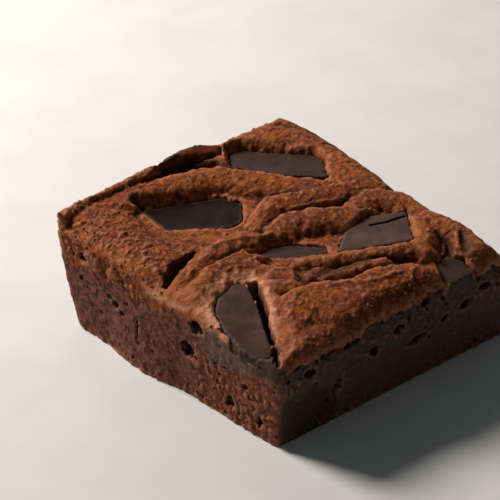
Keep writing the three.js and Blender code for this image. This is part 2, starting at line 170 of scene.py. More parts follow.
CHUNKS = {
    "chunk_left": Chunk(
        [(-20, 31.5), (-1, 23), (1.5, 17), (-4, 10.5), (-8, 10), (-21.5, 19.5)],
        top=27.0, tone=0.0, slope=-0.02),
    "chunk_back": Chunk(
        [(9.5, 31), (13, 36), (17, 35.5), (29.5, 21.5), (29.5, 17.5), (25, 11), (17, 19)],
        top=28.2, tone=0.55),
    "chunk_edge": Chunk(
        [(-10.5, 38.8), (-5, 40.2), (1, 40.6), (6.5, 40), (12, 37.4), (9.5, 34.4), (2, 37), (-5, 38)],
        top=32.0, tone=0.4, slope=0.5, bank=6.0, edge=1.6, crumbed=0.9, gap=0.0),
    "chunk_right": Chunk(
        [(3.5, -15.5), (11, -10), (21, -8.5), (29.5, -13), (26, -18), (21.5, -24), (7.5, -18)],
        top=27.5, tone=1.0),
    "chunk_middle": Chunk(
        [(-12.5, -2.5), (-6, -2), (-2, -4), (4.5, -11), (3, -13), (-3, -10.5), (-9, -6.5)],
        top=26.2, tone=0.6, thickness=7.0, edge=0.4),
    "chunk_front": Chunk(
        [(-30.6, -10.2), (-23.2, -7.9), (-20.6, -10.2), (-23.8, -18), (-27.5, -24.5), (-31, -31.4),
         (-33.8, -33), (-36.2, -31), (-37, -26.5), (-36, -19), (-33.8, -13.4)],
        top=24.1, tone=1.0, slope=0.17, thickness=4.0, bank=0.7, far_bank=0.28),
    "chunk_corner": Chunk(
        [(20, -33), (24.5, -32), (27, -35.5), (27.3, -39.9), (16.5, -39.8)],
        top=24.5, tone=1.0, slope=0.3, thickness=4.5, bank=2.0, edge=0.4),
}

# How far a chunk's pocket reaches below its top, and how softly its rim is rounded
POCKET_DEPTH = 2.2
POCKET_BLEND = 0.5

# Crack across the top of the right chunk: spine, half width, depth
SPLIT = ([(18, -12), (22, -13.6), (27.5, -14.6)], 0.35, 1.2)

# Deep gap between the front chunk and the fold on its east side, and the height of its floor
GAP = [
    (-21.2, -9.6), (-20.2, -9.8), (-18.9, -12), (-22.1, -19.1), (-26.1, -25.4), (-29.9, -31.2),
    (-32.4, -34.8), (-34.4, -37.6), (-35.6, -37.4), (-33.6, -34.2), (-31, -31.2), (-27.6, -24.4),
    (-23.9, -18), (-20.8, -10.2)]
GAP_FLOOR = 18.5

# Holes in the cut faces: distance along the face, height, half width, half height, depth
WEST_HOLES = [
    (29.2, 22.4, 1.6, 1.0, 1.8), (30.4, 15.9, 1.0, 0.8, 1.2), (19.6, 15.3, 1.1, 0.8, 1.0),
    (17.4, 14.2, 1.2, 1.1, 1.3), (15.0, 12.9, 1.2, 0.8, 1.1), (9.2, 11.4, 0.6, 3.0, 1.0),
    (-11, 21.4, 2.3, 1.9, 3.0), (-7.6, 13.3, 2.2, 2.1, 2.6), (-21.8, 5.3, 1.5, 1.5, 2.2),
    (-27.3, 12.4, 1.4, 1.0, 1.8), (-31.9, 4.2, 1.0, 1.6, 1.8), (-24.2, 21.9, 1.5, 1.5, 2.6)]
SOUTH_HOLES = [
    (10.9, 21.5, 1.7, 1.5, 2.6), (8.4, 11.8, 3.0, 1.1, 2.2), (24.5, 15.1, 1.9, 1.2, 2.4),
    (17.8, 14, 1.8, 1.0, 2.0), (-6, 14.9, 1.6, 1.5, 2.2), (-12.6, 19.8, 2.3, 1.0, 2.4),
    (-20.6, 20.6, 2.2, 1.1, 2.4), (-17.3, 9, 1.3, 3.4, 2.0), (2.3, 17.5, 2.0, 1.2, 2.2),
    (31, 17.5, 2.0, 0.9, 2.0), (-30, 21, 1.6, 1.0, 2.0), (-26, 17.5, 1.8, 1.0, 2.0)]

# Round lumps that stand out of the west face: distance along it, height, radius, how far out
WEST_LUMPS = [(5.6, 26.4, 2.0, 0.9), (17.8, 22.6, 2.0, 0.8), (25, 23, 3.0, 0.7)]

# Outline of the molten end of the front chunk, seen from above
MOLTEN = [(-34.2, -30.5), (-31.5, -32.8), (-34, -36.6), (-35.2, -40.5), (-40, -40.5), (-40, -33)]

# Outline of the chocolate smeared on the west face: distance along the face, height
SMEAR = [
    (-14, 22.5), (-14.3, 17.5), (-16.5, 14.2), (-22.5, 14.6), (-30, 17.6), (-36, 20.2), (-36, 23.5),
    (-30, 23), (-23, 21.2), (-18.5, 23)]

# How far down each cut face the crust reaches: (place along the face, depth under the rim)
WEST_SKIN = [(-40, 0.5), (-14, 1.2), (-6, 3.0), (3, 4.5), (14, 6.0), (26, 8.0), (40, 10.0)]
SOUTH_SKIN = [(-36, 0.2), (-24, 0.5), (-14, 1.2), (0, 0.6), (14, 1.0), (28, 2.0), (40, 4.0)]
FAR_SKIN = 4.0

# Height of the pale band along the crust's edge on the west face, painted light with some of the crust's own
# paler colour: (place along the face, height)
PALE_LIT_EDGE = [(-14, 27), (-5.7, 24.6), (-0.5, 23.7), (5.2, 23.6)]

# The golden blister on the west rim: its middle and its half widths, seen from above
BLISTER = {"x": -35, "y": -5, "half_x": 6.0, "half_y": 6.5}

# Quads whose middle is below this height make up the foot, a piece of its own
FOOT_HEIGHT = 0.8

# How many loose crumbs lie on the cut faces, along the rims and on each chunk
FACE_CRUMBS = 700
RIM_CRUMBS = 160
CHUNK_CRUMBS = 9

# View: angles in degrees, distance in metres, and the point looked at, in the tables' frame
AZIMUTH = -41.07
ELEVATION = 32.76
DISTANCE = 0.633
TARGET = (2.6, 15.45, 13.35)


def smooth_max(a, b, blend):
    """The larger of two values, rounded off where they differ by less than the blend."""
    share = np.clip(0.5 + 0.5 * (a - b) / blend, 0, 1)
    return b + (a - b) * share + blend * share * (1 - share)


def smooth_min(a, b, blend):
    """The smaller of two values, rounded off where they differ by less than the blend."""
    return -smooth_max(-a, -b, blend)


def ramp(value, low, high):
    """Soft ramp from 0 at low to 1 at high."""
    t = np.clip((value - low) / (high - low), 0, 1)
    return t * t * (3 - 2 * t)


def from_run(x, y, a, b):
    """Offsets from the nearest place on the straight run from a to b, its share of the way, the run."""
    run = b[:2] - a[:2]
    t = np.clip(((x - a[0]) * run[0] + (y - a[1]) * run[1]) / (run @ run), 0, 1)
    return x - a[0] - t * run[0], y - a[1] - t * run[1], t, run


def from_spine(x, y, spine):
    """Distance to the spine, signed distance, and its points' last number at the nearest place."""
    points = np.array(spine, float)
    best = np.full(x.shape, 1e9)
    signed = np.zeros(x.shape)
    last = np.zeros(x.shape)
    for a, b in zip(points[:-1], points[1:]):
        dx, dy, t, run = from_run(x, y, a, b)
        distance = np.hypot(dx, dy)
        nearer = distance < best
        best = np.where(nearer, distance, best)
        signed = np.where(nearer, distance * np.sign(run[0] * dy - run[1] * dx), signed)
        last = np.where(nearer, a[-1] + (b[-1] - a[-1]) * t, last)
    return best, signed, last


def from_outline(x, y, outline):
    """Distance to an outline, negative inside."""
    points = np.array(outline, float)
    best = np.full(x.shape, 1e9)
    inside = np.zeros(x.shape, bool)
    for a, b in zip(points, np.roll(points, -1, axis=0)):
        dx, dy, _, run = from_run(x, y, a, b)
        best = np.minimum(best, np.hypot(dx, dy))
        if a[1] != b[1]:
            crossing = run[0] * (y - a[1]) / run[1] + a[0]
            inside ^= ((a[1] > y) != (b[1] > y)) & (x < crossing)
    return np.where(inside, -best, best)


def blend_corners(values, u, v):
    """Value at shares (u, v), from those at the south-west, south-east, north-east, north-west."""
    south = values[0] + (values[1] - values[0]) * u
    north = values[3] + (values[2] - values[3]) * u
    return south + (north - south) * v


def rim_place(x, y):
    """Shares (u, v) of the way across the rim's outline, eastward and northward."""
    u = np.full(x.shape, 0.5)
    v = np.full(x.shape, 0.5)
    for _ in range(4):
        west = RIM[0, 0] + (RIM[3, 0] - RIM[0, 0]) * v
        east = RIM[1, 0] + (RIM[2, 0] - RIM[1, 0]) * v
        u = (x - west) / (east - west)
        south = RIM[0, 1] + (RIM[1, 1] - RIM[0, 1]) * u
        north = RIM[3, 1] + (RIM[2, 1] - RIM[3, 1]) * u
        v = (y - south) / (north - south)
    return u, v


def shoulder_drop(u, v):
    """How far the crust rounds down toward its south, west, east and north rims."""
    across, deep = RIM[1, 0] - RIM[0, 0], RIM[3, 1] - RIM[0, 1]
    vc = np.clip(v, 0, 1)
    sides = [(v * deep, 5.0, 2.4),
             (u * across, 5.0, 2.8 * (1 - vc ** 3)),
             ((1 - u) * across, 7.0, 5.0 - 3.0 * vc),
             ((1 - v) * deep, 3.0, 0.3)]
    total = np.zeros(u.shape)
    for inward, reach, amount in sides:
        drop = amount * np.clip(1 - inward / reach, 0, 1.15) ** 2
        total = np.maximum(total, drop) + 0.4 * np.minimum(total, drop)
    return total


def chunk_top(chunk, y):
    """Height of a chunk's top at y."""
    return chunk.top + chunk.slope * (y - np.mean([p[1] for p in chunk.outline]))


def crust_height(x, y, broad, lumps):
    """Height of the crust; broad and lumps are noise maps of the same shape with a spread of one."""
    wx, wy = x + 0.3 * broad, y + 0.15 * lumps
    u, v = rim_place(x, y)
    height = blend_corners(CRUST_CORNERS, np.clip(u, 0, 1), np.clip(v, 0, 1))
    for spine, front, back, fall in FOLDS:
        distance, signed, crest = from_spine(wx, wy, spine)
        t = np.clip(distance / np.where(signed > 0, back, front), 0, 1)
        arch = crest - fall * (1 - np.sqrt(1 - t * t))
        height = smooth_max(height, np.where(t < 1, arch, -1e3), FOLD_BLEND)
    for spine, half_width, rise in WRINKLES:
        t = np.clip(from_spine(wx, wy, spine)[0] / half_width, 0, 1)
        height = height + rise * (1 - t * t) ** 2
    for spine, depth in CREASES:
        distance, _, half_width = from_spine(wx, wy, spine)
        deepest = depth * half_width / max(width for _, _, width in spine)
        height = height - deepest * (1 - np.clip(distance / half_width, 0, 1) ** 2) ** 1.5
    height = height - shoulder_drop(u, v)
    far = ramp(y, *FAR_BANK_SPAN)
    for chunk in CHUNKS.values():
        beside = np.clip(from_outline(x, y, chunk.outline), 0, None)
        far_bank = chunk.bank if chunk.far_bank is None else chunk.far_bank
        bank = chunk.bank + (far_bank - chunk.bank) * far
        height = smooth_min(height, chunk_top(chunk, y) + HOLLOW_STEP + bank * beside, HOLLOW_BLEND)
    return height


class Volume:
    """A regular block of samples over the slice, in millimetres, with repeatable noise."""

    def __init__(self, low, high, step, seed):
        self.low = np.array(low, float)
        self.step = step
        self.size = tuple(int(math.ceil((b - a) / step / 8) * 8) for a, b in zip(low, high))
        axes = [self.low[i] + step * np.arange(self.size[i]) for i in range(3)]
        self.x, self.y = np.meshgrid(axes[0], axes[1], indexing="ij")
        self.z = axes[2]
        turns = [np.fft.fftfreq(n, step) for n in self.size[:2]] + [np.fft.rfftfreq(self.size[2], step)]
        self.turns = np.sqrt(turns[0][:, None, None] ** 2 + turns[1][None, :, None] ** 2
                             + turns[2][None, None, :] ** 2).astype(np.float32)
        draw = np.random.default_rng(seed)
        self.white = np.fft.rfftn(draw.standard_normal(self.size, dtype=np.float32)).astype(np.complex64)

    def noise(self, wavelength, width=0.45):
        """Noise whose lumps are about wavelength millimetres apart, with a spread of one."""
        with np.errstate(divide="ignore"):
            octaves = np.log2(np.maximum(self.turns, 1e-6) * wavelength)
        band = np.exp(-0.5 * (octaves / width) ** 2)
        field = np.fft.irfftn(self.white * band, self.size).astype(np.float32)
        return field / field.std()

    def blurred(self, field, radius):
        """The field after a soft blur whose radius is in millimetres."""
        soft = np.exp(-2 * (math.pi * self.turns * radius) ** 2)
        return np.fft.irfftn(np.fft.rfftn(field) * soft, self.size).astype(np.float32)

    def sample(self, field, points):
        """Values of a field at points, blended between the nearest samples."""
        place = (points - self.low) / self.step
        cell = np.clip(np.floor(place).astype(int), 0, np.array(self.size) - 2)
        part = np.clip(place - cell, 0, 1)
        total = np.zeros(len(points))
        for corner in range(8):
            bits = np.array([corner >> 2 & 1, corner >> 1 & 1, corner & 1])
            weight = np.prod(np.where(bits, part, 1 - part), axis=1)
            index = cell + bits
            total += weight * field[index[:, 0], index[:, 1], index[:, 2]]
        return total


def surface_mesh(volume, field):
    """Vertices in millimetres and quads of the surface where the field is zero."""
    grid = openvdb.FloatGrid(float(volume.step * 3))
    limited = np.clip(field, -3 * volume.step, 3 * volume.step).astype(np.float32)
    grid.copyFromArray(np.ascontiguousarray(limited))
    points, _, quads = grid.convertToPolygons(isovalue=0.0, adaptivity=0.0)
    return points.astype(float) * volume.step + volume.low, quads[:, ::-1].astype(np.int64)


def largest_piece(points, quads):
    """The vertices and quads of the largest connected piece."""
    label = np.arange(len(points))
    while True:
        lowest = label[quads].min(axis=1)
        before = label.copy()
        for corner in range(4):
            np.minimum.at(label, quads[:, corner], lowest)
        label = label[label]
        if np.array_equal(before, label):
            break
    kept = label[quads[:, 0]] == np.bincount(label).argmax()
    return without_loose(points, quads[kept], {})[:2]


def new_object(name, data):
    """Object that shows the data in the scene."""
    thing = bpy.data.objects.new(name, data)
    bpy.context.scene.collection.objects.link(thing)
    return thing


def new_piece(name, points, quads, attributes, material, slot, *nodes):
    """Mesh object from millimetre points, riding on the slice and standing for CAD nodes."""
    mesh = bpy.data.meshes.new(name)
    shifted = points.copy()
    shifted[:, :2] += SHIFT
    low, high = (np.array(corner) / MM for corner in CAD_BOX)
    shifted = np.clip(shifted, low, high) * MM
    count = len(quads)
    corners = quads.shape[1]
    mesh.vertices.add(len(shifted))
    mesh.vertices.foreach_set("co", shifted.astype(np.float32).ravel())
    mesh.loops.add(count * corners)
    mesh.loops.foreach_set("vertex_index", quads.ravel().astype(np.int32))
    mesh.polygons.add(count)
    mesh.polygons.foreach_set("loop_start", (np.arange(count) * corners).astype(np.int32))
    mesh.polygons.foreach_set("use_smooth", np.ones(count, bool))
    for key, values in attributes.items():
        layer = mesh.attributes.new(key, "FLOAT", "POINT")
        layer.data.foreach_set("value", np.asarray(values, np.float32))
    mesh.update(calc_edges=True)
    mesh.validate()
    mesh.materials.append(material)
    piece = new_object(name, mesh)
    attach(piece, "root")
    if nodes:
        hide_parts(*nodes)


def without_loose(points, quads, attributes):
    """Drop vertices that no quad uses."""
    used = np.zeros(len(points), bool)
    used[quads.ravel()] = True
    renumber = np.cumsum(used) - 1
    return points[used], renumber[quads], {key: values[used] for key, values in attributes.items()}


def side_distances(x, y, z):
    """Outward distances from the four sides at height z, south, east, north and west."""
    low = min(max(1 - z / SIDE_HEIGHT, 0.0), 1.0)
    share = low ** SIDE_CURVE
    corners = RIM * (1 - share) + FOOT * share
    distances = []
    for i in range(4):
        a, b = corners[i], corners[(i + 1) % 4]
        run = (b - a) / np.linalg.norm(b - a)
        distances.append((x - a[0]) * run[1] - (y - a[1]) * run[0])
    from_middle = (y - BELLY["middle"]) / BELLY["half_length"]
    distances[3] = distances[3] - BELLY["reach"] * share * np.clip(1 - from_middle ** 2, 0, 1)
    return distances


def holes_depth(along, z, holes, uneven):
    """Depth of the holes in a cut face, at places along it and at height z."""
    depth = np.zeros(along.shape)
    for place, height, half_width, half_height, deep in holes:
        reach = ((along - place) / half_width) ** 2 + ((z - height) / half_height) ** 2
        reach = reach + 0.5 * np.clip(uneven, -1, 2)
        depth = np.maximum(depth, deep * np.clip(1 - reach, 0, 1) ** 0.5)
    return depth


def skin_depth(along, table):
    """How far down a cut face the crust reaches, at places along it."""
    places, depths = zip(*table)
    return np.interp(along, places, depths)


def lumps_height(along, z, lumps):
    """How far the round lumps stand out of a cut face, at places along it and at height z."""
    height = np.zeros(along.shape)
    for place, level, radius, reach in lumps:
        away = ((along - place) ** 2 + (z - level) ** 2) / radius ** 2
        height = np.maximum(height, reach * np.exp(-away ** 2))
    return height


def pebbled(noise):
    """Rounded lumps with soft valleys between them, from 0 to 1."""
    return np.tanh(np.sqrt(noise ** 2 + 0.15))


def crust_raggedness(x, y, broad):
    """Share from 0 to 1 of how crumbly the crust is: most at the north-west corner and rims."""
    corner = ramp(-x + 1.5 * broad, 18, 34) * ramp(y, -2, 12)
    rim = ramp(y + 0.5 * broad, 36, 38.5)
    patches = 0.35 * ramp(broad, -0.2, 1.2)
    return np.clip(0.3 + 0.65 * np.maximum(np.maximum(corner, rim), patches), 0, 1)


def crumb_roughness(x, y, z, on_west, under):
    """Share from 0 to 1 of how coarse the cut crumb is at height z."""
    front = ramp(-y, 6, 15) * ramp(-z, -19, -15)
    upper = ramp(y, 2, 14) * ramp(-under, -9, -5)
    foot = 0.7 * ramp(-z, -4.5, -2.5)
    west = 0.22 + 0.78 * np.maximum(np.maximum(front, upper), foot)
    south = 0.25 + 0.75 * ramp(-under, -12, -7) + 0.3 * foot
    south = south * (1 - 0.8 * smooth_patch(x, z))
    return south + (west - south) * on_west


def smooth_patch(x, z):
    """Share of the dense dark patch low on the south face near its west end."""
    return 1 - ramp(np.hypot((x + 28.5) / 12.5, (z - 6) / 7.5), 0.7, 1.1)


def cake_fields(volume):
    """Distance field of the cake and the fields that its finish is painted with."""
    x, y = volume.x, volume.y
    sizes = (BROAD_SIZE, LUMP_SIZE, KNOB_SIZE, GRAIN_SIZE, FINE_SIZE)
    broad, lumps, knobs, grains, fine = (volume.noise(size) for size in sizes)
    height = crust_height(x, y, broad[:, :, SWELL_LAYER], lumps[:, :, SWELL_LAYER])
    ragged = crust_raggedness(x, y, broad[:, :, RAGGED_LAYER])
    layer = RELIEF_LAYER
    height = height + 0.08 * lumps[:, :, layer] + (0.05 + 0.03 * ragged) * fine[:, :, layer]
    pebbles = 0.65 * pebbled(knobs[:, :, layer]) + 0.2 * pebbled(grains[:, :, layer]) - 0.45
    height = height + ragged * pebbles
    slope_x, slope_y = np.gradient(height, volume.step)
    steep = np.sqrt(1 + np.clip(slope_x ** 2 + slope_y ** 2, 0, 4))
    west_skin = skin_depth(y, WEST_SKIN)
    south_skin = skin_depth(x, SOUTH_SKIN)
    field = np.empty(volume.size, np.float32)
    skin = np.empty(volume.size, np.float32)
    for k, z in enumerate(volume.z):
        lump, knob, grain, dot = (block[:, :, k] for block in (lumps, knobs, grains, fine))
        south, east, north, west = side_distances(x, y, z)
        second = np.sort(np.stack([south, east, north, west]), axis=0)[2]
        on_west = ramp(west - south, -2, 2)
        far = ramp(np.maximum(north, east) - np.maximum(south, west), -1, 1)
        reach = south_skin + (west_skin - south_skin) * on_west
        reach = reach + (FAR_SKIN - reach) * far
        under = height - z
        below = under + 0.6 * lump + 0.4 * grain
        crumb = ramp(below, 0.8, 2.6)
        lip = (0.1 + 0.3 * (1 - on_west)) * (1 - ramp(below, 1.0, 2.4))
        hollow = np.exp(-((under - 4.0) / 2.0) ** 2) * (1 - on_west) * (1 - far)
        ragged_edge = 0.7 * lump + 0.4 * grain
        west = west + np.where(west > -5, holes_depth(y, z, WEST_HOLES, ragged_edge), 0)
        west = west - lumps_height(y, z, WEST_LUMPS)
        south = south + np.where(south > -5, holes_depth(x, z, SOUTH_HOLES, ragged_edge), 0)
        sides = smooth_max(smooth_max(south, north, 2.4), smooth_max(east, west, 2.4), 2.4)
        sides = sides - lip + hollow
        near_corner = ramp(second, -2.5, -0.5)
        rough = crumb * crumb_roughness(x, y, z, on_west, under) * (1 - 0.6 * near_corner)
        rough = rough * (0.75 * pebbled(lump) + 0.25 * pebbled(knob) - 0.65)
        above = (z - height) / steep
        even = 0.05 * lump + 0.05 * dot
        field[:, :, k] = smooth_max(above, sides - rough + even, 1.0)
        browned = 1 - ramp(below - reach, -1.0 - 1.2 * on_west, 1.2 + 1.6 * on_west)
        skin[:, :, k] = np.maximum(browned, 1 - ramp(under + 0.3 * lump, 0.6, 1.8))
    return field, skin, dict(lumps=lumps, grains=grains, broad=broad, height=height)


def add_pores(volume, field, skin, fields):
    """Torn pores in the crumb just under its surface."""
    pores = volume.noise(KNOB_SIZE, 0.3)
    for k, z in enumerate(volume.z):
        south, _, _, west = side_distances(volume.x, volume.y, z)
        under = fields["height"] - z
        on_west = ramp(west - south, -3, 3)
        coarse = crumb_roughness(volume.x, volume.y, z, on_west, under)
        opening = 1.1 * (pores[:, :, k] - 2.7 + 0.85 * coarse)
        opening = opening - 1.2 * np.clip(-field[:, :, k] - 1.3, 0, None) - 0.8 * skin[:, :, k]
        opening = opening - 3.0 * (1 - ramp(under, 1.5, 2.5)) - 2.0 * np.clip(1.2 - z, 0, None)
        field[:, :, k] = smooth_max(field[:, :, k], opening, 0.3)


def cut_pockets(volume, field, fields):
    """Room for the chunks in the crust, with an uneven gap round each."""
    x, y = volume.x, volume.y
    lumps, grains = fields["lumps"][:, :, POCKET_LAYER], fields["grains"][:, :, POCKET_LAYER]
    uneven = 0.05 + 0.22 * lumps + 0.1 * grains
    pockets = []
    for chunk in CHUNKS.values():
        beside = from_outline(x, y, chunk.outline) - np.clip(uneven, -0.45, chunk.gap)
        pockets.append((beside, chunk_top(chunk, y) - POCKET_DEPTH))
    pockets.append((from_outline(x, y, GAP) - np.clip(uneven, -0.4, 0.3), GAP_FLOOR))
    for beside, floor in pockets:
        for k, z in enumerate(volume.z):
            field[:, :, k] = smooth_max(field[:, :, k], -np.maximum(beside, floor - z), POCKET_BLEND)


def cake_attributes(volume, field, skin, fields, points):
    """Values at the surface that the cake's material reads, all from 0 to 1."""
    solid = np.clip(0.5 - field / volume.step, 0, 1)
    near = volume.sample(volume.blurred(solid, 0.7), points)
    wide = volume.sample(volume.blurred(solid, 2.2), points)
    lumps = volume.sample(fields["lumps"], points)
    broad = volume.sample(fields["broad"], points)
    x, y, z = points.T
    south, _, _, west = side_distances(x, y, 12.0)
    on_west = ramp(west - south, -1.5, 1.5)
    warm = ramp(-y + 2.5 * broad, 4, 16) * ramp(-z + 1.5 * lumps, -20, -14)
    foot = ramp(-z + 0.8 * lumps, -4.0, -1.5)
    warm = np.maximum(warm, 0.8 * foot) * (0.25 + 0.75 * on_west)
    melted = melted_share(points, lumps) * ramp(west, -8, -5)
    # The smooth, darker patch low on the south face takes the smear's colour too
    patch = smooth_patch(x, z + 0.8 * lumps) * (1 - on_west)
    # Darker, greyer colour over the south face
    south_dark = (1 - on_west) * (1 - 0.6 * foot) * (1 - 0.25 * ramp(x, 4, 34))
    streak = 0.5 + 0.5 * np.sin(2.4 * y + 0.9 * lumps)
    # Painted shade along the creases: 1 near their middles, fading to 0 beside them
    crease_shade = np.zeros(len(points))
    for spine, _ in CREASES:
        distance, _, half_width = from_spine(x, y, spine)
        crease_shade = np.maximum(crease_shade, 1 - ramp(distance / half_width + 0.2 * lumps, 0.7, 1.9))
    across, along = (x - BLISTER["x"]) / BLISTER["half_x"], (y - BLISTER["y"]) / BLISTER["half_y"]
    blister = 1 - ramp(np.hypot(across, along) + 0.1 * lumps, 0.75, 1.1)
    # Pale crust round the front chunk and a band along the west rim's edge: painted light where the crust is
    # lit, with some of the drier crust's paler colour
    from_slab = from_outline(x, y, CHUNKS["chunk_front"].outline) + 0.6 * lumps
    pale_and_lit = (1 - ramp(from_slab, 1.8, 4.2)) * ramp(y, -34, -20) * ramp(-y, -2, 6)
    edge = np.exp(-((z - np.interp(y, *zip(*PALE_LIT_EDGE)) + 0.4 * lumps) / 0.9) ** 2)
    edge = edge * ramp(west, -6, -2) * ramp(y, -18, -12) * ramp(-y, -8, -4)
    return dict(skin=volume.sample(skin, points), near=near, wide=wide, warm=warm, south_dark=south_dark,
                melted=np.maximum(melted, patch), molten=ramp(-y + 0.6 * lumps, 29, 32),
                streak=streak, blister=blister * ramp(z, 21, 23), pale_and_lit=np.maximum(pale_and_lit, edge),
                crease_shade=crease_shade)


def melted_share(points, lumps):
    """Chocolate smeared over the west face under the front chunk, and a dab further back."""
    y, z = points[:, 1], points[:, 2]
    drips = 0.5 * np.abs(np.sin(1.1 * y)) * ramp(-z, -19, -15)
    smear = 1 - ramp(from_outline(y, z, SMEAR) + 0.35 * lumps - drips, -0.6, 0.7)
    x = points[:, 0]
    molten = 1 - ramp(from_outline(x, y, MOLTEN) + 0.3 * lumps, -0.6, 0.6)
    smear = np.maximum(smear, molten * ramp(z + 0.5 * lumps, 18.5, 20))
    dab = 1 - ramp(np.hypot((y - 25) / 3.2, (z - 23) / 1.9) + 0.2 * lumps, 0.8, 1.2)
    return np.maximum(smear, 0.5 * dab)


class Nodes:
    """Short way to lay out a material's node tree."""

    def __init__(self, name, settings):
        self.settings = settings
        self.material = bpy.data.materials.new(name)
        self.material.use_nodes = True
        self.tree = self.material.node_tree
        self.shader = self.tree.nodes["Principled BSDF"]
        self.place = self.add("ShaderNodeTexCoord").outputs["Object"]

    def add(self, kind, **values):
        """New node of a kind, with its properties set."""
        node = self.tree.nodes.new(kind)
        for key, value in values.items():
            setattr(node, key, value)
        return node

    def feed(self, socket, value):
        """Link a socket to another one, or set it to a colour, a named colour or a number."""
        if isinstance(value, str):
            value = getattr(self.settings, value)
        if isinstance(value, bpy.types.NodeSocket):
            self.tree.links.new(value, socket)
        elif hasattr(value, "__len__"):
            socket.default_value = (*value, 1.0)[:4]
        else:
            socket.default_value = value

    def fill(self, node, inputs):
        """Feed several inputs of a node, by name or number."""
        for key, value in inputs.items():
            self.feed(node.inputs[key], value)

    def noise(self, scale, detail=3.0, rough=0.55):
        """Cloudy pattern from 0 to 1."""
        node = self.add("ShaderNodeTexNoise")
        self.fill(node, {"Vector": self.place, "Scale": scale, "Detail": detail, "Roughness": rough})
        return node.outputs["Fac"]

    def cells(self, scale):
        """Distance to the middles of scattered cells."""
        node = self.add("ShaderNodeTexVoronoi")
        self.fill(node, {"Vector": self.place, "Scale": scale})
        return node.outputs["Distance"]

    def read(self, name, share=None):
        """Value of an attribute of the mesh, or a share of it."""
        value = self.add("ShaderNodeAttribute", attribute_name=name).outputs["Fac"]
        return value if share is None else self.math("MULTIPLY", value, share)

    def span(self, value, low, high, to_low=0.0, to_high=1.0):
        """Soft step of a value from low to high, with the results at both ends."""
        node = self.add("ShaderNodeMapRange", interpolation_type="SMOOTHSTEP")
        self.fill(node, {"Value": value, "From Min": low, "From Max": high,
                         "To Min": to_low, "To Max": to_high})
        return node.outputs["Result"]

    def mix(self, share, a, b):
        """Colour a turning into b with the share."""
        node = self.add("ShaderNodeMix", data_type="RGBA")
        self.fill(node, {0: share, 6: a, 7: b})
        return node.outputs[2]

    def math(self, operation, a, b):
        """Result of an operation on two values."""
        node = self.add("ShaderNodeMath", operation=operation)
        self.fill(node, {0: a, 1: b})
        return node.outputs[0]

    def bump(self, height, distance, strength, below=None):
        """Fine relief, on top of the relief below it."""
        node = self.add("ShaderNodeBump")
        self.fill(node, {"Distance": distance, "Strength": strength, "Height": height})
        if below is not None:
            self.feed(node.inputs["Normal"], below)
        return node.outputs["Normal"]

    def finish(self, colour, roughness, normal, specular, **more):
        """The material, with the shader's inputs set."""
        self.fill(self.shader, {"Base Color": colour, "Roughness": roughness, "Normal": normal,
                                "Specular IOR Level": specular, **more})
        return self.material


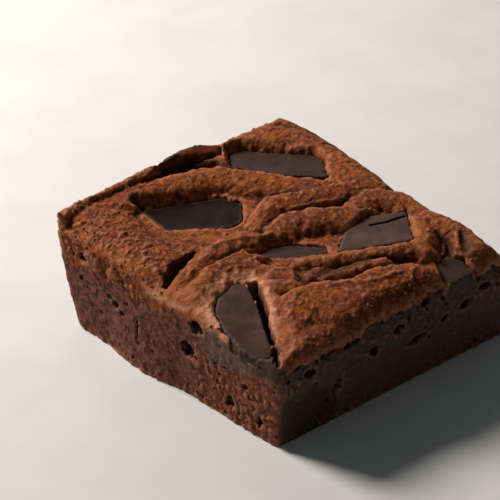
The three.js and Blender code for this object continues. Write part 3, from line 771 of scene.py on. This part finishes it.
def cake_material(settings):
    """Baked crust, cut crumb and smeared chocolate, told apart by the mesh's attributes."""
    n = Nodes("baked_cake", settings)
    patches = n.noise(150, 4)
    mottle = n.noise(560, 5, 0.65)
    grain = n.noise(1600, 4, 0.7)
    pits = n.noise(950, 3, 0.6)
    specks = n.cells(1150)
    near, wide = n.read("near"), n.read("wide")

    # Crust: golden patches and dark mottling, painted shade in the hollows and creases, pale crests with
    # painted highlights and glints, then the blister and the pale crust painted with light round the front
    # chunk and along the west rim
    # Painted light on the pale crust round the front chunk and along the west rim
    pale_and_lit = n.read("pale_and_lit", n.span(mottle, 0.4, 0.6, 0.4, 0.95))
    crust = n.mix(n.span(patches, 0.42, 0.58), "crust_colour", "crust_golden")
    for share, layer in (
            (n.span(mottle, 0.49, 0.63, 0, 0.6), "crust_dark_and_shade"),
            (n.span(pits, 0.52, 0.64, 0, 0.6), "crust_dark_and_shade"),
            (n.span(pits, 0.46, 0.36, 0, 0.5), "crust_pale_and_highlight"),
            # Painted shade in the broad hollows
            (n.span(wide, 0.52, 0.66, 0, 0.85), "crust_dark_and_shade"),
            # Painted highlight on the broad crests
            (n.span(wide, 0.45, 0.35, 0, 0.3), "crust_pale_and_highlight"),
            # Painted highlight on the sharp crests
            (n.span(near, 0.48, 0.42, 0, 0.6), "crust_pale_and_highlight"),
            # Painted shade in the narrow hollows
            (n.span(near, 0.515, 0.58, 0, 0.75), "crust_dark_and_shade"),
            (n.span(mottle, 0.52, 0.62, 0, 0.4), "crust_dark_and_shade"),
            # Painted shade along the creases
            (n.read("crease_shade", 0.8), "crust_dark_and_shade"),
            (n.read("blister", 0.8), "crust_blister"),
            (pale_and_lit, "crust_pale_and_lit")):
        crust = n.mix(share, crust, layer)

    # Crumb: dark pores, the warm parts of the cut faces and the darker south face, painted shade in the
    # hollows, then pale specks and a painted highlight on raised crumb
    # Painted highlight on raised crumb
    raised_highlight = n.mix(n.read("warm"), "crumb_pale", "crust_pale_and_highlight")
    crumb = n.mix(n.span(mottle, 0.38, 0.66), "crumb_colour", "crumb_dark_and_shade")
    for share, layer in (
            (n.read("warm", 0.8), "crumb_warm"),
            (n.span(pits, 0.53, 0.66, 0, 0.55), "crumb_dark_and_shade"),
            (n.read("south_dark", 0.75), "crumb_south_dark"),
            # Painted shade in the crumb's hollows
            (n.span(near, 0.51, 0.61, 0, 0.9), "crumb_dark_and_shade"),
            (n.span(near, 0.47, 0.39, 0, 0.6), raised_highlight),
            (n.span(specks, 0.30, 0.10, 0, 0.45), "crumb_pale")):
        crumb = n.mix(share, crumb, layer)

    # Chocolate smeared over both
    streak = n.read("streak", 0.6)
    smear = n.mix(streak, "chocolate_smear", "chocolate_bloom")
    smear = n.mix(n.math("MAXIMUM", n.read("south_dark"), n.read("molten")), smear, "chocolate")
    colour = n.mix(n.read("skin"), crumb, crust)
    # Pale specks over crust and crumb: partly pale grains, partly painted glints
    colour = n.mix(n.span(specks, 0.25, 0.08, 0, 0.25), colour, "crust_pale_and_highlight")
    colour = n.mix(n.read("melted"), colour, smear)

    shine = n.span(grain, 0.3, 0.7, 0.42, 0.72)
    shine = n.mix(n.span(near, 0.49, 0.43), shine, (0.38, 0.38, 0.38))
    rough = n.mix(n.math("MAXIMUM", n.read("melted"), n.read("blister")), shine, (0.42, 0.42, 0.42))
    normal = n.bump(grain, 0.0003, 0.6, n.bump(pits, 0.0005, 0.5, n.bump(mottle, 0.0005, 0.4)))
    sheen = {"Sheen Weight": 0.03, "Sheen Roughness": 0.4, "Sheen Tint": (1.0, 0.6, 0.42)}
    return n.finish(colour, rough, normal, 0.13, IOR=1.3, **sheen)


def crumbs_material(settings):
    """Loose crumbs, each with a shade of its own."""
    n = Nodes("loose_crumbs", settings)
    shade = n.read("shade")
    colour = n.mix(shade, "crumb_colour", "crumb_warm")
    colour = n.mix(n.span(n.noise(1500), 0.45, 0.7, 0, 0.7), colour, "crumb_dark_and_shade")
    return n.finish(colour, n.span(shade, 0, 1, 0.6, 0.8), n.bump(n.noise(2600), 0.0002, 0.5), 0.25)


def chocolate_material(settings):
    """Dark chocolate with cloudy patches, pale dust and lighter rounded edges, painted darker on chunks that
    catch no sheen.
    """
    n = Nodes("dark_chocolate", settings)
    clouds = n.noise(160, 3)
    dust = n.noise(1900, 3, 0.7)
    near = n.read("near")
    colour = n.mix(n.span(clouds, 0.35, 0.7), "chocolate", "chocolate_bloom")
    # Painted shade and sheen: each chunk darker or greyer by how much of the back light it catches
    colour = n.mix(n.read("tone"), "chocolate_shaded", colour)
    colour = n.mix(n.read("crumbed"), colour, "crust_colour")
    colour = n.mix(n.span(dust, 0.62, 0.74, 0, 0.35), colour, "chocolate_pale")
    # Lighter along the rounded edges
    colour = n.mix(n.span(near, 0.46, 0.34, 0, 0.6), colour, "chocolate_pale")
    rough = n.span(clouds, 0.3, 0.7, 0.5, 0.65)
    normal = n.bump(dust, 0.0002, 0.15, n.bump(clouds, 0.0008, 0.15))
    return n.finish(colour, rough, normal, 0.07)


def tint(name, description, default):
    """Property for a colour."""
    return FloatVectorProperty(name=name, description=description, default=default, size=3,
                               min=0.0, max=1.0, subtype="COLOR")


class BrownieSettings(bpy.types.PropertyGroup):
    """Sizes and colours of the brownie."""

    cake_step: FloatProperty(
        name="Cake detail", description="Distance between samples of the cake, in mm",
        default=0.38, min=0.2, max=1.0)
    chunk_step: FloatProperty(
        name="Chunk detail", description="Distance between samples of a chunk, in mm",
        default=0.28, min=0.15, max=1.0)
    seed: IntProperty(name="Seed", description="Draw of the torn crumb and crust", default=11)
    key_power: FloatProperty(
        name="Key light", description="Power of the large soft light",
        default=7.0, min=0.0, unit="POWER")
    back_power: FloatProperty(
        name="Back light", description="Power of the soft light behind",
        default=1.2, min=0.0, unit="POWER")
    crust_colour: tint("Crust", "Baked brown of the crust", (0.185, 0.043, 0.013))
    crust_golden: tint("Golden crust", "Orange-brown patches of the crust", (0.270, 0.068, 0.011))
    # Dark mottling and pores of the crust, and the painted shade mixed into its hollows and creases
    crust_dark_and_shade: tint("Dark crust", "Hollows of the crust", (0.056, 0.017, 0.008))
    crust_blister: tint("Blister", "Golden blister on the crust's west rim", (0.27, 0.080, 0.022))
    # Pale crests of the crust: partly the drier crust's own paler colour, partly painted highlight and glints
    crust_pale_and_highlight: tint("Crust crests", "Pale crests of the crust", (0.36, 0.125, 0.058))
    # Pale crust round the front chunk and along the west rim: painted light, with some of the drier crust's
    # paler colour
    crust_pale_and_lit: tint("Worn crust", "Pale crust round the front chunk", (0.58, 0.26, 0.15))
    crumb_colour: tint("Crumb", "Cut crumb", (0.185, 0.062, 0.041))
    # Dark pores of the crumb, and the painted shade mixed into its hollows
    crumb_dark_and_shade: tint("Dark crumb", "Pores of the crumb", (0.050, 0.018, 0.013))
    crumb_warm: tint("Warm crumb", "Reddish coarse crumb", (0.20, 0.060, 0.030))
    # Pale specks of crumb, also the painted highlight on raised crumb
    crumb_pale: tint("Pale crumb", "Raised specks of crumb", (0.22, 0.105, 0.080))
    # Darker, greyer crumb over the south face
    crumb_south_dark: tint("Dense crumb", "Dark, close crumb of the south face", (0.080, 0.054, 0.046))
    chocolate: tint("Chocolate", "Dark chocolate", (0.056, 0.030, 0.022))
    # Chocolate painted as if in shade, for the chunks that catch no sheen
    chocolate_shaded: tint("Deep chocolate", "Darkest chocolate", (0.008, 0.001, 0.0005))
    chocolate_bloom: tint("Bloom", "Greyer patches of the chocolate", (0.088, 0.050, 0.040))
    # Pale dust, and the lighter rounded edges of the chocolate
    chocolate_pale: tint("Dust", "Pale dust and worn edges", (0.10, 0.060, 0.048))
    chocolate_smear: tint("Smear", "Chocolate smeared on the cut face", (0.150, 0.082, 0.062))


class BROWNIE_OT_cake(bpy.types.Operator):
    """Build the cake: its crust and its torn crumb"""

    bl_idname = "brownie.cake"
    bl_label = "Cake"

    def execute(self, context):
        settings = context.scene.brownie
        step = settings.cake_step * 1.0
        volume = Volume((-43, -43, -1.5), (42, 44, 34.5), step, settings.seed)
        field, skin, fields = cake_fields(volume)
        add_pores(volume, field, skin, fields)
        cut_pockets(volume, field, fields)
        foot = -volume.z[None, None, :].astype(np.float32)
        field = smooth_max(field, foot + np.zeros_like(field), 0.4).astype(np.float32)
        points, quads = surface_mesh(volume, field)
        points, quads = largest_piece(points, quads)
        if len(points) == 0:
            raise RuntimeError("the cake has no surface")
        attributes = cake_attributes(volume, field, skin, fields, points)
        material = cake_material(settings)
        is_crust = attributes["skin"][quads].mean(axis=1) > 0.5
        is_foot = points[quads][:, :, 2].mean(axis=1) < FOOT_HEIGHT
        parts = {"crust": is_crust & ~is_foot, "crumb": ~is_crust & ~is_foot, "foot": is_foot}
        for name, chosen in parts.items():
            part = without_loose(points, quads[chosen], attributes)
            new_piece(name, *part, material, "cake", "brownie")
        return {"FINISHED"}


class BROWNIE_OT_chunks(bpy.types.Operator):
    """Build the chocolate chunks"""

    bl_idname = "brownie.chunks"
    bl_label = "Chocolate chunks"

    def execute(self, context):
        settings = context.scene.brownie
        material = chocolate_material(settings)
        for number, (name, chunk) in enumerate(CHUNKS.items()):
            self.build(name, chunk, material, settings, number)
        return {"FINISHED"}

    def build(self, name, chunk, material, settings, number):
        """One chunk, as a block with soft edges and a slightly uneven surface."""
        outline = np.array(chunk.outline, float)
        low = (*(outline.min(axis=0) - 1.5), chunk.top - chunk.thickness - 2)
        high = (*(outline.max(axis=0) + 1.5), chunk.top + 4)
        volume = Volume(low, high, settings.chunk_step, settings.seed + number + 1)
        waves, grains = volume.noise(6.0), volume.noise(1.6)
        beside = from_outline(volume.x, volume.y, outline) + 0.1
        top = chunk_top(chunk, volume.y)
        rounding = 0.9 * chunk.edge + 0.2
        field = np.empty(volume.size, np.float32)
        for k, z in enumerate(volume.z):
            level = np.maximum(z - top, top - chunk.thickness - z)
            uneven = 0.035 * waves[:, :, k] + 0.01 * grains[:, :, k]
            field[:, :, k] = smooth_max(beside + 0.08 * grains[:, :, k], level + uneven, rounding)
        if name == "chunk_right":
            self.split(volume, field, top)
        points, quads = largest_piece(*surface_mesh(volume, field))
        solid = np.clip(0.5 - field / volume.step, 0, 1)
        near = volume.sample(volume.blurred(solid, 0.6), points)
        tone = np.full(len(points), chunk.tone)
        under = chunk_top(chunk, points[:, 1]) - points[:, 2]
        patches = ramp(volume.sample(waves, points), -1.2, 0.4)
        crumbed = chunk.crumbed * patches * ramp(-under, -2.2, -0.8)
        attributes = dict(near=near, tone=tone, crumbed=crumbed)
        new_piece(name + "_chocolate", points, quads, attributes, material, "chocolate", name)

    def split(self, volume, field, top):
        """Crack across the top of the right chunk."""
        spine, half_width, depth = SPLIT
        distance, _, _ = from_spine(volume.x, volume.y, spine)
        for k, z in enumerate(volume.z):
            groove = np.maximum(distance - half_width, top - depth - z)
            field[:, :, k] = np.maximum(field[:, :, k], -groove)


class BROWNIE_OT_crumbs(bpy.types.Operator):
    """Scatter small crumbs over the cut faces, the foot and the chocolate"""

    bl_idname = "brownie.crumbs"
    bl_label = "Crumbs"

    def execute(self, context):
        settings = context.scene.brownie
        draw = np.random.default_rng(settings.seed + 100)
        faces = self.places("crumb", draw, self.on_cut_face, FACE_CRUMBS)
        rims = self.places("crust", draw, self.on_rim, RIM_CRUMBS)
        dust = [self.places(name + "_chocolate", draw, self.on_chunk_top, CHUNK_CRUMBS) for name in CHUNKS]
        spots = np.concatenate([faces, rims, *dust])
        sizes = np.concatenate([draw.uniform(0.2, 0.55, len(faces)),
                                draw.uniform(0.18, 0.42, len(rims)),
                                draw.uniform(0.1, 0.2, len(spots) - len(faces) - len(rims))])
        if len(spots) == 0:
            raise RuntimeError("no place for the crumbs")
        points, triangles, shade = self.grains(spots, sizes, draw)
        new_piece("crumbs", points, triangles, dict(shade=shade), crumbs_material(settings), "cake")
        return {"FINISHED"}

    def on_cut_face(self, points, normals):
        """Weight of each place: most low down and on the west face."""
        low = ramp(-points[:, 2], -5, -1)
        western = 0.04 + 0.96 * ramp(-normals[:, 0], 0.0, 0.5)
        return (normals[:, 2] < 0.6) * (points[:, 2] > 0.7) * (0.12 + low) * western

    def on_rim(self, points, normals):
        """Weight of each place: most along the west, south and north rims."""
        inward = np.minimum(np.minimum(points[:, 0] + 40, points[:, 1] + 41), 41 - points[:, 1])
        return ramp(-inward, -7, -1)

    def on_chunk_top(self, points, normals):
        """Weight of each place: the flat top alone."""
        return (normals[:, 2] > 0.9).astype(float)

    def places(self, name, draw, weigh, count):
        """Random vertices of a piece, in millimetres of the tables' frame."""
        mesh = bpy.data.objects[name].data
        points = np.empty(len(mesh.vertices) * 3, np.float32)
        normals = np.empty_like(points)
        mesh.vertices.foreach_get("co", points)
        mesh.vertices.foreach_get("normal", normals)
        points = points.reshape(-1, 3) / MM
        normals = normals.reshape(-1, 3)
        weight = weigh(points, normals) + 1e-9
        chosen = draw.choice(len(points), count, replace=False, p=weight / weight.sum())
        spots = points[chosen].astype(float) - 0.1 * normals[chosen]
        spots[:, :2] -= SHIFT
        return spots

    def grains(self, spots, sizes, draw):
        """Angular grains, one at each spot."""
        ball = bmesh.new()
        bmesh.ops.create_icosphere(ball, subdivisions=2, radius=1.0)
        shape = np.array([vertex.co[:] for vertex in ball.verts])
        faces = np.array([[vertex.index for vertex in face.verts] for face in ball.faces])
        ball.free()
        stretch = draw.uniform(0.65, 1.25, (len(spots), 1, 3))
        facets = draw.standard_normal((len(spots), 7, 3))
        facets /= np.linalg.norm(facets, axis=2, keepdims=True)
        reach = np.einsum("vk,sfk->svf", shape, facets).max(axis=2, keepdims=True)
        grains = shape[None] * stretch * (0.75 / np.clip(reach, 0.6, 1)) * sizes[:, None, None]
        grains = grains + spots[:, None]
        grains[:, :, 2] = np.maximum(grains[:, :, 2], 0.05)
        triangles = faces[None] + (np.arange(len(spots)) * len(shape))[:, None, None]
        shade = np.repeat(draw.uniform(0, 1, len(spots)), len(shape))
        return grains.reshape(-1, 3), triangles.reshape(-1, 3), shade


class BROWNIE_OT_stage(bpy.types.Operator):
    """Lay the pale floor, and set the soft light and the camera"""

    bl_idname = "brownie.stage"
    bl_label = "Floor, light and camera"

    def execute(self, context):
        settings = context.scene.brownie
        self.floor(settings)
        left = Vector((-0.755, 0.656, 0.0))
        away = Vector((0.656, 0.755, 0.0))
        up = Vector((0.0, 0.0, 1.0))
        self.lamp("key", left * 0.46 + away * 0.26 + up * 0.43, 0.22, settings.key_power)
        self.lamp("back", away * 0.7 + left * 0.1 + up * 0.42, 0.5, settings.back_power)
        world = bpy.data.worlds.new("studio")
        world.use_nodes = True
        background = world.node_tree.nodes["Background"]
        background.inputs["Color"].default_value = (0.88, 1.0, 1.0, 1.0)
        background.inputs["Strength"].default_value = 0.085
        context.scene.world = world
        context.scene.view_settings.view_transform = "Standard"
        self.camera(context)
        return {"FINISHED"}

    def floor(self, settings):
        """Plain pale floor under the slice."""
        mesh = bpy.data.meshes.new("floor")
        half = 3.0
        corners = [(-half, -half, 0), (half, -half, 0), (half, half, 0), (-half, half, 0)]
        mesh.from_pydata(corners, [], [(0, 1, 2, 3)])
        n = Nodes("pale_floor", settings)
        colour = n.mix(n.span(n.noise(40), 0.3, 0.7), (0.62, 0.61, 0.60), (0.66, 0.65, 0.64))
        mesh.materials.append(n.finish(colour, 0.8, n.bump(n.noise(900), 0.0001, 0.1), 0.2))
        floor = new_object("floor", mesh)

    def lamp(self, name, place, size, power):
        """Round soft lamp at a place in metres, turned to the slice."""
        light = bpy.data.lights.new(name, "AREA")
        light.shape = "DISK"
        light.size = size
        light.energy = power
        light.color = (1.0, 0.94, 0.88)
        lamp = new_object(name, light)
        lamp.location = place
        lamp.rotation_euler = place.to_track_quat("Z", "Y").to_euler()

    def camera(self, context):
        """Long-lens camera that looks down on the west corner between the two cut faces."""
        azimuth, elevation = math.radians(AZIMUTH), math.radians(ELEVATION)
        target = Vector((TARGET[0] + SHIFT[0], TARGET[1] + SHIFT[1], TARGET[2])) * MM
        level = math.cos(elevation)
        back = Vector((math.sin(azimuth) * level, -math.cos(azimuth) * level, math.sin(elevation)))
        lens = bpy.data.cameras.new("camera")
        lens.lens = 180
        lens.sensor_width = 36
        lens.sensor_fit = "HORIZONTAL"
        lens.clip_start = 0.05
        camera = new_object("camera", lens)
        turn = back.to_track_quat("Z", "Y").to_matrix().to_4x4()
        camera.matrix_world = Matrix.Translation(target + back * DISTANCE) @ turn
        context.scene.camera = camera


class BROWNIE_PT_panel(bpy.types.Panel):
    """Sizes, colours and pieces of the brownie"""

    bl_idname = "BROWNIE_PT_panel"
    bl_label = "Brownie"
    bl_space_type = "VIEW_3D"
    bl_region_type = "UI"
    bl_category = "Brownie"

    def draw(self, context):
        settings = context.scene.brownie
        for key in BrownieSettings.__annotations__:
            self.layout.prop(settings, key)
        for operator in PIECES:
            self.layout.operator(operator.bl_idname)


PIECES = (BROWNIE_OT_cake, BROWNIE_OT_chunks, BROWNIE_OT_crumbs, BROWNIE_OT_stage)
CLASSES = (BrownieSettings, *PIECES, BROWNIE_PT_panel)


def register():
    """Register the settings, the operators and the panel."""
    for cls in CLASSES:
        bpy.utils.register_class(cls)
    bpy.types.Scene.brownie = PointerProperty(type=BrownieSettings)


def unregister():
    """Undo register."""
    del bpy.types.Scene.brownie
    for cls in reversed(CLASSES):
        bpy.utils.unregister_class(cls)


def main():
    """Build every piece and the stage."""
    register()
    bpy.ops.brownie.cake()
    bpy.ops.brownie.chunks()
    bpy.ops.brownie.crumbs()
    bpy.ops.brownie.stage()


if __name__ == "__main__":
    main()
